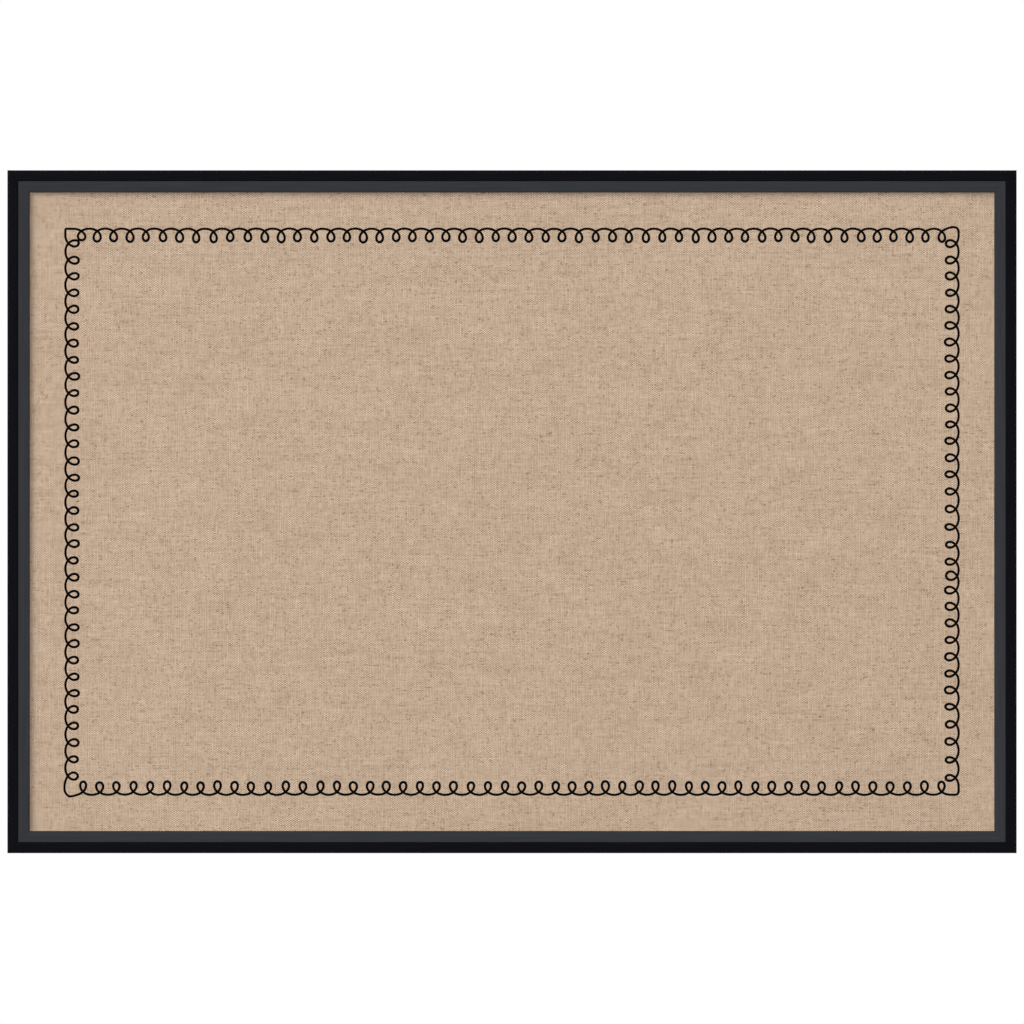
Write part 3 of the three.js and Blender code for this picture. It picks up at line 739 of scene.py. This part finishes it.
for side, turns in QUARTER_TURNS.items():
    half, reach = side_lengths(turns, border_half.x, border_half.z)
    turn_on = Matrix.Rotation(-turns * math.pi / 2, 3, "Y").transposed()
    forward = turn_on @ Vector((1, 0, 0))
    outward = turn_on @ Vector((0, 0, 1))
    spacing = (2 * half - FIRST_LOOPS[side] - LAST_LOOPS[side]) / (LOOP_COUNTS[side] - 1)
    run = add("VectorMath DOT_PRODUCT", [position, forward], take="Value")
    height = add("VectorMath DOT_PRODUCT", [position, outward], take="Value")
    on_side = add("Math GREATER_THAN", [height, reach - SIDE_TOLERANCE])
    # The drift of the loops along the side, and the count of loops passed.
    share_run = add("MapRange", [run, -half, half])
    drift_share = add("FloatCurve", {"Value": share_run})
    drift_curve = drift_share.node.mapping
    drift_points = drift_curve.curves[0].points
    while len(drift_points) < len(PEN_DRIFTS[side]):
        drift_points.new(0.5, 0.5)
    for point, (share, drift) in zip(drift_points, PEN_DRIFTS[side]):
        point.location = (share, 0.5 + drift / 1000 / PEN_DRIFT_SPAN)
        point.handle_type = "AUTO_CLAMPED"
    drift_curve.update()
    drift_back = add("MapRange", [drift_share, 0, 1, PEN_DRIFT_SPAN / 2, -PEN_DRIFT_SPAN / 2])
    steady_run = add("Math ADD", [run, drift_back])
    run_start = FIRST_LOOPS[side] - spacing / 2 - half
    run_end = half - LAST_LOOPS[side] + spacing / 2
    loops_passed = add("MapRange", [steady_run, run_start, run_end, 0, LOOP_COUNTS[side]])
    # The dip of the line into a loop, flattened at the top of the arch.
    angle = add("Math MULTIPLY", [loops_passed, 2 * math.pi])
    sine = add("Math SINE", [angle])
    cosine = add("Math COSINE", [angle])
    sine_cosine = add("Math MULTIPLY", [sine, cosine])
    sine_squared = add("Math MULTIPLY", [sine, sine])
    plain_dip = add("Math MULTIPLY_ADD", [cosine, -0.5, 0.5])
    flattening = add("Math MULTIPLY", [sine_squared, given["Arch Flatness"]])
    dip = add("Math SUBTRACT", [plain_dip, flattening])
    # Each loop has a depth, a roll and a lean of its own.
    loop_number = add("Math FLOOR", [loops_passed])
    loop_seed = add("CombineXYZ", {"X": loop_number, "Y": turns + 0.5})
    chance = add("TexWhiteNoise", {"Vector": loop_seed}, take="Color", noise_dimensions="2D")
    chances = add("SeparateXYZ", [chance]).node.outputs
    spreads = []
    for draw, spread in zip(chances, (DEPTH_SPREAD, ROLL_SPREAD, LEAN_SPREAD)):
        spreads.append(add("MapRange", [draw, 0, 1, *spread]))
    depth = add("Math MULTIPLY", [given["Loop Depth"], spreads[0]])
    roll = add("Math MULTIPLY", [given["Loop Roll"], spreads[1]])
    inward = add("Math MULTIPLY", [dip, depth])
    leaning = add("Math MULTIPLY", [dip, spreads[2]])
    rounding = add("Math MULTIPLY", [sine_cosine, given["Loop Roundness"]])
    rolling = add("Math MULTIPLY_ADD", [sine, roll, leaning])
    sideways = add("Math MULTIPLY_ADD", [rounding, -2, rolling])
    along_part = add("VectorMath SCALE", {0: forward, "Scale": sideways})
    inward_part = add("VectorMath SCALE", {0: -outward, "Scale": inward})
    offset = add("VectorMath ADD", [along_part, inward_part])
    radius_gain = add("Math MULTIPLY_ADD", [dip, given["Line Gain"], 1])
    radius = add("Math MULTIPLY", [radius_gain, given["Line Radius"]])
    path = add("SetCurveRadius", {"Curve": path, "Selection": on_side, "Radius": radius})
    path = add("SetPosition", {"Geometry": path, "Selection": on_side, "Offset": offset})
for inset_x, inset_z, shift_x, shift_z in PEN_SLIPS:
    slip_x = math.copysign(border_half.x, inset_x) - inset_x
    slip_z = math.copysign(border_half.z, inset_z) - inset_z
    gap = add("VectorMath DISTANCE", [position, (slip_x, 0, slip_z)], take="Value")
    pull = add("MapRange", [gap, 0, PEN_SLIP_REACH, 1, 0], interpolation_type="SMOOTHSTEP")
    slip = add("VectorMath SCALE", {0: (shift_x, 0, shift_z), "Scale": pull})
    path = add("SetPosition", {"Geometry": path, "Offset": slip})
wobbles = add("TexNoise", {"Vector": position, "Scale": WOBBLES_PER_METRE, "Detail": 1}, take="Color")
wobble_centred = add("VectorMath SUBTRACT", [wobbles, (0.5, 0.5, 0.5)])
wobble = add("VectorMath SCALE", {0: wobble_centred, "Scale": given["Wobble"]})
path = add("SetPosition", {"Geometry": path, "Offset": wobble})
pen = add("CurvePrimitiveCircle", {"Resolution": INK_SIDES, "Radius": 1})
line_radius = add("InputRadius")
line = add("CurveToMesh", {"Curve": path, "Profile Curve": pen, "Scale": line_radius})
# The round line is pressed flat on the linen's face.
flat_place = add("SeparateXYZ", [position]).node.outputs
flat_height = add("Math DIVIDE", [given["Ink Height"], given["Line Radius"]])
flat_y = add("Math MULTIPLY_ADD", [flat_place["Y"], flat_height, given["Linen Face"]])
flat = add("CombineXYZ", [flat_place["X"], flat_y, flat_place["Z"]])
inked = add("SetPosition", {"Geometry": line, "Position": flat})
end_tree(add, inked, screen_ink)

border_mesh = tree_mesh("loop_border", border_tree, border_sizes, bpy.data.meshes.new("border_start"))
border_mesh.polygons.foreach_set("use_smooth", [True] * len(border_mesh.polygons))
border = add_object("loop_border", border_mesh)
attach(border, "board")

# The hardboard back
# An eighth-inch sheet of pressed wood fibre that closes the frame behind the panel. Its smooth side
# faces out, and its sawn edges lie hidden in the rebate.
SAWN_EASE = 0.0003
back_low, back_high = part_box("hardboard_back")
back_rings = []
for inset, y in (
    (SAWN_EASE, back_low.y),
    (0, back_low.y + SAWN_EASE),
    (0, back_high.y - SAWN_EASE),
    (SAWN_EASE, back_high.y),
):
    x = back_high.x - inset
    z = back_high.z - inset
    back_rings.append([(x, y, z), (-x, y, z), (-x, y, -z), (x, y, -z)])

# Hardboard: brown pulp pressed to a skin, clouded, flecked with paler and darker fibres, half glossy.
FIBRE = 0.001
CLOUD = 0.09
pressed_fibre, add, shader = new_material("pressed_fibre_board")
place = add("TexCoord", take="Object")
clouds = add("TexNoise", {"Vector": place, "Scale": 1 / CLOUD, "Detail": 4})
fibres = add("TexNoise", {"Vector": place, "Scale": 1 / FIBRE, "Detail": 3, "Distortion": 0.4})
fibre_tone = add("Mix", {"Factor": 0.9, 2: clouds, 3: fibres})
fibre_stops = [(0.3, "#573A25"), (0.46, "#6D4A2F"), (0.58, "#7C5538"), (0.7, "#956F4C")]
set_inputs(shader, {
    "Base Color": add("ValToRGB", [fibre_tone], stops=fibre_stops),
    "Roughness": add("MapRange", [clouds, *NOISE_RANGE, 0.45, 0.65]),
    "Normal": add("Bump", {"Height": fibres, "Strength": 0.3, "Distance": 0.0001}),
    "Specular IOR Level": 0.3,
})
back_mesh = loft("hardboard_sheet", back_rings)
place_piece("hardboard_sheet", back_mesh, pressed_fibre, "board", ["hardboard_back"])

# The turn buttons
# Ten tongues of stamped steel that lie across the edge of the hardboard and hold the panel in.
# Each is loose on its screw, so that it can be swung aside. The stamping leaves their edges rounded.
BUTTON_ROUND = 0.0003
BUTTON_ROUND_STEPS = 3
HOLE_RADIUS = 0.0017
BUTTON_POINTS = 48
ROUNDING_ERROR = 1e-6
BUTTONS = {"top": 3, "right": 2, "bottom": 3, "left": 2}
first_low, first_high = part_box("turn_button_top_1")
button_radius = (first_high.x - first_low.x) / 2
button_straight = first_high.z - first_low.z - 2 * button_radius
button_angles = [2 * math.pi * i / BUTTON_POINTS for i in range(BUTTON_POINTS)]


def button_ring(radius, y, straight):
    """A ring round the pivot, drawn out towards -Z by the straight length."""
    ring = []
    for angle in button_angles:
        drop = straight if math.sin(angle) < -ROUNDING_ERROR else 0
        ring.append((radius * math.cos(angle), y, radius * math.sin(angle) - drop))
    return ring


button_rings = []
for radius, y, start, straight in (
    (button_radius - BUTTON_ROUND, first_low.y + BUTTON_ROUND, -90, button_straight),
    (button_radius - BUTTON_ROUND, first_high.y - BUTTON_ROUND, 0, button_straight),
    (HOLE_RADIUS + BUTTON_ROUND, first_high.y - BUTTON_ROUND, 90, 0),
    (HOLE_RADIUS + BUTTON_ROUND, first_low.y + BUTTON_ROUND, 180, 0),
):
    for ring_radius, ring_y in arc((radius, y), BUTTON_ROUND, start, start + 90, BUTTON_ROUND_STEPS):
        button_rings.append(button_ring(ring_radius, ring_y, straight))
button_model = loft("turn_button_model", button_rings, closed=True)

# Zinc-plated steel: a cool grey metal with a patchy, faintly blue and yellow bloom and fine rubbed marks.
BLOOM = 0.006
RUBBED_MARK = 0.0009
zinc_plate, add, shader = new_material("zinc_plated_steel")
place = add("TexCoord", take="Object")
bloom = add("TexNoise", {"Vector": place, "Scale": 1 / BLOOM, "Detail": 3})
rubbed = add("TexNoise", {"Vector": place, "Scale": 1 / RUBBED_MARK, "Detail": 4})
zinc_stops = [(0.3, "#8E959E"), (0.48, "#A9ADB1"), (0.6, "#B2B3B0"), (0.75, "#B9B39F")]
set_inputs(shader, {
    "Base Color": add("ValToRGB", [bloom], stops=zinc_stops),
    "Roughness": add("MapRange", [rubbed, *NOISE_RANGE, 0.26, 0.5]),
    "Normal": add("Bump", {"Height": rubbed, "Strength": 0.15, "Distance": 0.00004}),
    "Metallic": 1,
})


def middle_of(node, y=0):
    """The middle of a CAD node's box, as seen from the back, at the depth y."""
    low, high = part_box(node)
    return Vector(((low.x + high.x) / 2, y, (low.z + high.z) / 2))


screw_nodes = []
for side, count in BUTTONS.items():
    for number in range(1, count + 1):
        body = f"turn_button_{side}_{number}"
        screw_nodes.append(f"pivot_screw_{side}_{number}")
        mesh = button_model.copy()
        turn = Matrix.Rotation(QUARTER_TURNS[side] * math.pi / 2, 4, "Y")
        mesh.transform(Matrix.Translation(middle_of(screw_nodes[-1])) @ turn)
        place_piece(f"tongue_{side}_{number}", mesh, zinc_plate, body, [body])

# The screws
# Fourteen pan-headed wood screws, turned and plated: ten that the turn buttons swing on and four that
# hold the hangers. Each has a cross recess and was left at its own angle.
SCREW_SIDES = 24
SHANK_RADIUS = 0.0015
SCREW_LENGTH = 0.011
POINT_LENGTH = 0.003
POLE_RADIUS = 0.00005
HEAD_RADIUS = 0.0032
HEAD_EDGE = 0.0007
HEAD_HEIGHT = 0.002
HEAD_ROUND = 0.0001
HEAD_SWEEP = 88
HEAD_STEPS = 8
RECESS_REACH = 0.0018
RECESS_HALF_WIDTH = 0.00045
RECESS_DEPTH = 0.0011
RECESS_STRAIGHT = 0.0002
RECESS_TIP_SHARE = 0.25
RECESS_TAPER = 0.4
LEAST_ARM = 1.2
TURN_STEP = 2.39996


def turned(profile, sides):
    """Rings round the Y axis through the profile, whose points are (radius, height)."""
    angles = [2 * math.pi * i / sides for i in range(sides)]
    return [[(r * math.cos(a), h, r * math.sin(a)) for a in angles] for r, h in profile]


screw_profile = [
    (POLE_RADIUS, -SCREW_LENGTH),
    (SHANK_RADIUS, POINT_LENGTH - SCREW_LENGTH),
    (SHANK_RADIUS, 0),
    (HEAD_RADIUS - HEAD_ROUND, 0),
    (HEAD_RADIUS, HEAD_ROUND),
]
for r, h in arc((0, 0), 1, 0, HEAD_SWEEP, HEAD_STEPS):
    screw_profile.append((HEAD_RADIUS * r, HEAD_EDGE + (HEAD_HEIGHT - HEAD_EDGE) * h))
blank = add_object("screw_blank", loft("screw_blank", turned(screw_profile, SCREW_SIDES)))
cross_rings = []
for share, height in (
    (RECESS_TIP_SHARE, HEAD_HEIGHT - RECESS_DEPTH),
    (1, HEAD_HEIGHT - RECESS_STRAIGHT),
    (1, HEAD_HEIGHT * 2),
):
    a = RECESS_HALF_WIDTH * (1 - RECESS_TAPER + RECESS_TAPER * share)
    b = max(RECESS_REACH * share, a * LEAST_ARM)
    quarter = [(b, -a), (b, a), (a, a)]
    cross = []
    for _ in range(4):
        cross += quarter
        quarter = [(-z, x) for x, z in quarter]
    cross_rings.append([(x, height, z) for x, z in cross])
driver = add_object("screw_driver", loft("screw_driver", cross_rings))
recess = blank.modifiers.new("recess", "BOOLEAN")
recess.object = driver
screw_model = shade(settle(blank, "screw_model"))
bpy.data.objects.remove(driver)
screw_nodes += [f"strap_screw_{side}_{number}" for side in ("left", "right") for number in (1, 2)]
screw_places = []
for i, node in enumerate(screw_nodes):
    under_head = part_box(node)[1].y - HEAD_HEIGHT
    screw_places.append((middle_of(node, under_head), i * TURN_STEP))
place_copies("wood_screws", screw_model, screw_places, zinc_plate, screw_nodes)

# The hangers
# A strip of plated steel on each side rail, folded round into an eye and screwed down through both of
# its layers. A wire ring, bent shut with its ends inside the eye, swings there to meet the wall hook.
STRIP_GAUGE = 0.0008
STRIP_EASE = 0.0002
TIP_ANGLES = range(9, 91, 9)
LEAST_HALF = 3 * STRIP_EASE
EYE_RADIUS = 0.0016
EYE_SWEEP = (-90, 190)
EYE_STEPS = 28
EYE_FOOT = [(-0.0019, 0.0004), (-0.0024, 0.00012), (-0.003, 0)]
STRAP_GAP = 0.0001
STRAIGHT_FROM = 0.012
UNDER_EYE = 0.004
WIRE_RADIUS = 0.001
WIRE_SIDES = 16
WIRE_CREASE = math.radians(50)
RING_HALF = 0.0053
RING_LEG = 0.006
RING_BEND = 0.002
BEND_STEPS = 8
BOW_STEPS = 20
BUTT_GAP = 0.0004
strap_low, strap_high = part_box("hanger_strap_left")
strap_half = (strap_high.x - strap_low.x) / 2
half_gauge = STRIP_GAUGE / 2
axis_height = STRAP_GAP + half_gauge + EYE_RADIUS
axis_z = strap_high.z - EYE_RADIUS - half_gauge
strap_length = axis_z - strap_low.z
under_layer = STRAP_GAP + half_gauge
over_layer = under_layer + STRIP_GAUGE
# The strip's middle line, seen from its side: up the under layer, round the eye and down over itself.
tip_steps = [strap_half * (1 - math.cos(math.radians(a))) for a in TIP_ANGLES]
fold = [(-strap_length + step, under_layer) for step in tip_steps]
fold += [(-STRAIGHT_FROM, under_layer), (-UNDER_EYE, under_layer)]
fold += [(z, axis_height + h) for z, h in arc((0, 0), EYE_RADIUS, *EYE_SWEEP, EYE_STEPS)]
fold += [(z, over_layer + h) for z, h in EYE_FOOT]
fold += [(-STRAIGHT_FROM, over_layer)]
fold += [(-strap_length + step, over_layer) for step in reversed(tip_steps)]
strip_rings = []
for i, (z, height) in enumerate(fold):
    before = fold[max(i - 1, 0)]
    after = fold[min(i + 1, len(fold) - 1)]
    along = Vector((after[0] - before[0], after[1] - before[1])).normalized()
    tip = max(0.0, strap_half - (z + strap_length))
    half = math.sqrt(max(strap_half**2 - tip**2, LEAST_HALF**2))
    section = [(half - STRIP_EASE, -half_gauge), (half, STRIP_EASE - half_gauge)]
    section += [(x, -step) for x, step in reversed(section)]
    section += [(-x, step) for x, step in reversed(section)]
    strip_rings.append([(x, height + along.x * step, z - along.y * step) for x, step in section])
strap_model = loft("hanger_strap_model", strip_rings)
strap_nodes = ["hanger_strap_left", "hanger_strap_right"]
strap_places = [(Vector((middle_of(node).x, frame_back, axis_z)), 0) for node in strap_nodes]
place_copies("hanger_straps", strap_model, strap_places, zinc_plate, strap_nodes)

# The wire's tree: a line of points becomes a round wire with closed ends.
wire_inputs = {"Line": "Geometry", "Wire Radius": "Float", "Finish": "Material"}
wire_tree, add, given = new_tree("wire_along_line", "Wire", wire_inputs)
line = add("MeshToCurve", {"Mesh": given["Line"]})
section = add("CurvePrimitiveCircle", {"Resolution": WIRE_SIDES, "Radius": given["Wire Radius"]})
wire = add("CurveToMesh", {"Curve": line, "Profile Curve": section, "Fill Caps": True})
end_tree(add, wire, given["Finish"])

half_bow = [(BUTT_GAP / 2, 0)]
half_bow += arc((RING_HALF - RING_BEND, -RING_BEND), RING_BEND, 90, 0, BEND_STEPS)
half_bow += arc((0, -RING_LEG), RING_HALF, 0, -90, BOW_STEPS)
bow = half_bow + [(-x, z) for x, z in reversed(half_bow[:-1])]
ring_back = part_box("hanger_ring_left")[1].y
tilt = math.asin((ring_back - WIRE_RADIUS - frame_back - axis_height) / (RING_LEG + RING_HALF))
bow_line = bpy.data.meshes.new("bow_line")
bow_line.from_pydata([(x, 0, z) for x, z in bow], [(i, i + 1) for i in range(len(bow) - 1)], [])
wire_values = {"Wire Radius": WIRE_RADIUS, "Finish": zinc_plate}
ring_model = shade(tree_mesh("hanger_ring_model", wire_tree, wire_values, bow_line), WIRE_CREASE)
for (strap_place, _), side in zip(strap_places, ("left", "right")):
    axis = strap_place + Vector((0, axis_height, 0))
    mesh = ring_model.copy()
    mesh.transform(Matrix.Translation(axis) @ Matrix.Rotation(tilt, 4, "X"))
    body = f"hanger_ring_{side}"
    place_piece(f"wire_ring_{side}", mesh, zinc_plate, body, [body])

# The bumpers
# Four moulded rubber discs glued near the frame's corners, which keep it off the wall. Their faces are
# flat and their shoulders are round.
BUMPER_SIDES = 40
FACE_RADIUS = 0.004
SHOULDER = 0.0034
SHOULDER_STEPS = 8
BUMPER_GLUE = 0.0001
bumper_low, bumper_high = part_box("bumper_top_left")
bumper_radius = (bumper_high.x - bumper_low.x) / 2
bumper_height = -frame_back
shoulder_round = (bumper_radius - FACE_RADIUS, bumper_height - SHOULDER)
bumper_profile = [(POLE_RADIUS, BUMPER_GLUE), (bumper_radius, BUMPER_GLUE)]
for r, h in arc((0, 0), 1, 0, 90, SHOULDER_STEPS):
    bumper_profile.append((FACE_RADIUS + shoulder_round[0] * r, SHOULDER + shoulder_round[1] * h))
bumper_profile.append((POLE_RADIUS, bumper_height))
bumper_model = loft("bumper_model", turned(bumper_profile, BUMPER_SIDES))

# Moulded rubber: black, dull, with the fine pitting of its mould and a little pale dust on it.
PITTING = 0.0005
moulded_rubber, add, shader = new_material("moulded_rubber")
place = add("TexCoord", take="Object")
pitting = add("TexNoise", {"Vector": place, "Scale": 1 / PITTING, "Detail": 3})
set_inputs(shader, {
    "Base Color": add("ValToRGB", [pitting], stops=[(0.35, "#151516"), (0.6, "#1D1D1E"), (0.8, "#333231")]),
    "Normal": add("Bump", {"Height": pitting, "Strength": 0.4, "Distance": 0.00008}),
    "Roughness": 0.8,
    "Specular IOR Level": 0.2,
})
bumper_nodes = [f"bumper_{corner}" for corner in CORNER_TURNS]
bumper_places = [(middle_of(node, frame_back), 0) for node in bumper_nodes]
place_copies("bumpers", bumper_model, bumper_places, moulded_rubber, bumper_nodes)

# The studio
# A soft key light from above on the left draws the lip's shadow on the linen. A weak one from straight
# in front, two for the back and an even grey fill leave no shadow of their own. The floor lies well below.
SOFT_SPREAD = math.radians(44)
FRONT_SPREAD = math.radians(2)
FLOOR_DROP = 0.75
FLOOR_RADIUS = 3.2
FLOOR_SIDES = 96
FADE_FROM = 0.3
FILL_GREY = 0.08
WHITE = (1, 1, 1, 1)
for name, comes_from, strength, spread in (
    ("key", (-0.81, -1, 0.68), 2.4, SOFT_SPREAD),
    ("front", (0, -1, 0), 1.46, FRONT_SPREAD),
    ("back_key", (0.7, 1, 0.75), 2.4, SOFT_SPREAD),
    ("back_fill", (-0.8, 1, 0.3), 1.3, SOFT_SPREAD),
):
    sun = bpy.data.lights.new(name, "SUN")
    sun.energy = strength
    sun.angle = spread
    lamp = add_object(name, sun)
    lamp.rotation_euler = Vector(comes_from).to_track_quat("Z", "Y").to_euler()
    lamp.visible_glossy = name != "front"

world = bpy.data.worlds.new("studio")
world.use_nodes = True
scene.world = world
world.node_tree.nodes.clear()
add = partial(add_node, world.node_tree)
ray = add("LightPath").node.outputs
seen = ray["Is Camera Ray"]
for kind in ("Is Glossy Ray", "Is Transmission Ray"):
    seen = add("Math MAXIMUM", [seen, ray[kind]])
fill_light = add("Background", {"Color": WHITE, "Strength": FILL_GREY})
white_light = add("Background", {"Color": WHITE, "Strength": 1})
sky = add("MixShader", [seen, fill_light, white_light])
add("OutputWorld", {"Surface": sky})

# Floor paint: pale and dull, fading out well away from the board so that no edge of it shows.
floor_paint, add, shader = new_material("pale_floor_paint")
set_inputs(shader, {"Base Color": linear("#F2F1EF"), "Roughness": 0.9})
place = add("TexCoord", take="Object")
level_place = add("VectorMath MULTIPLY", [place, (1, 1, 0)])
out_from_middle = add("VectorMath LENGTH", [level_place], take="Value")
fade = add("MapRange", [out_from_middle, FLOOR_RADIUS * FADE_FROM, FLOOR_RADIUS])
clear = add("BsdfTransparent")
soft_edge = add("MixShader", [fade, shader.outputs[0], clear])
output = next(node for node in floor_paint.node_tree.nodes if node.type == "OUTPUT_MATERIAL")
set_inputs(output, {"Surface": soft_edge})
bm = bmesh.new()
bmesh.ops.create_circle(bm, cap_ends=True, segments=FLOOR_SIDES, radius=FLOOR_RADIUS)
bm.transform(Matrix.Translation((0, 0, cad_box[0].z - FLOOR_DROP)))
floor = add_object("floor", shaded_mesh("floor", bm))
floor.data.materials.append(floor_paint)
floor.visible_diffuse = False
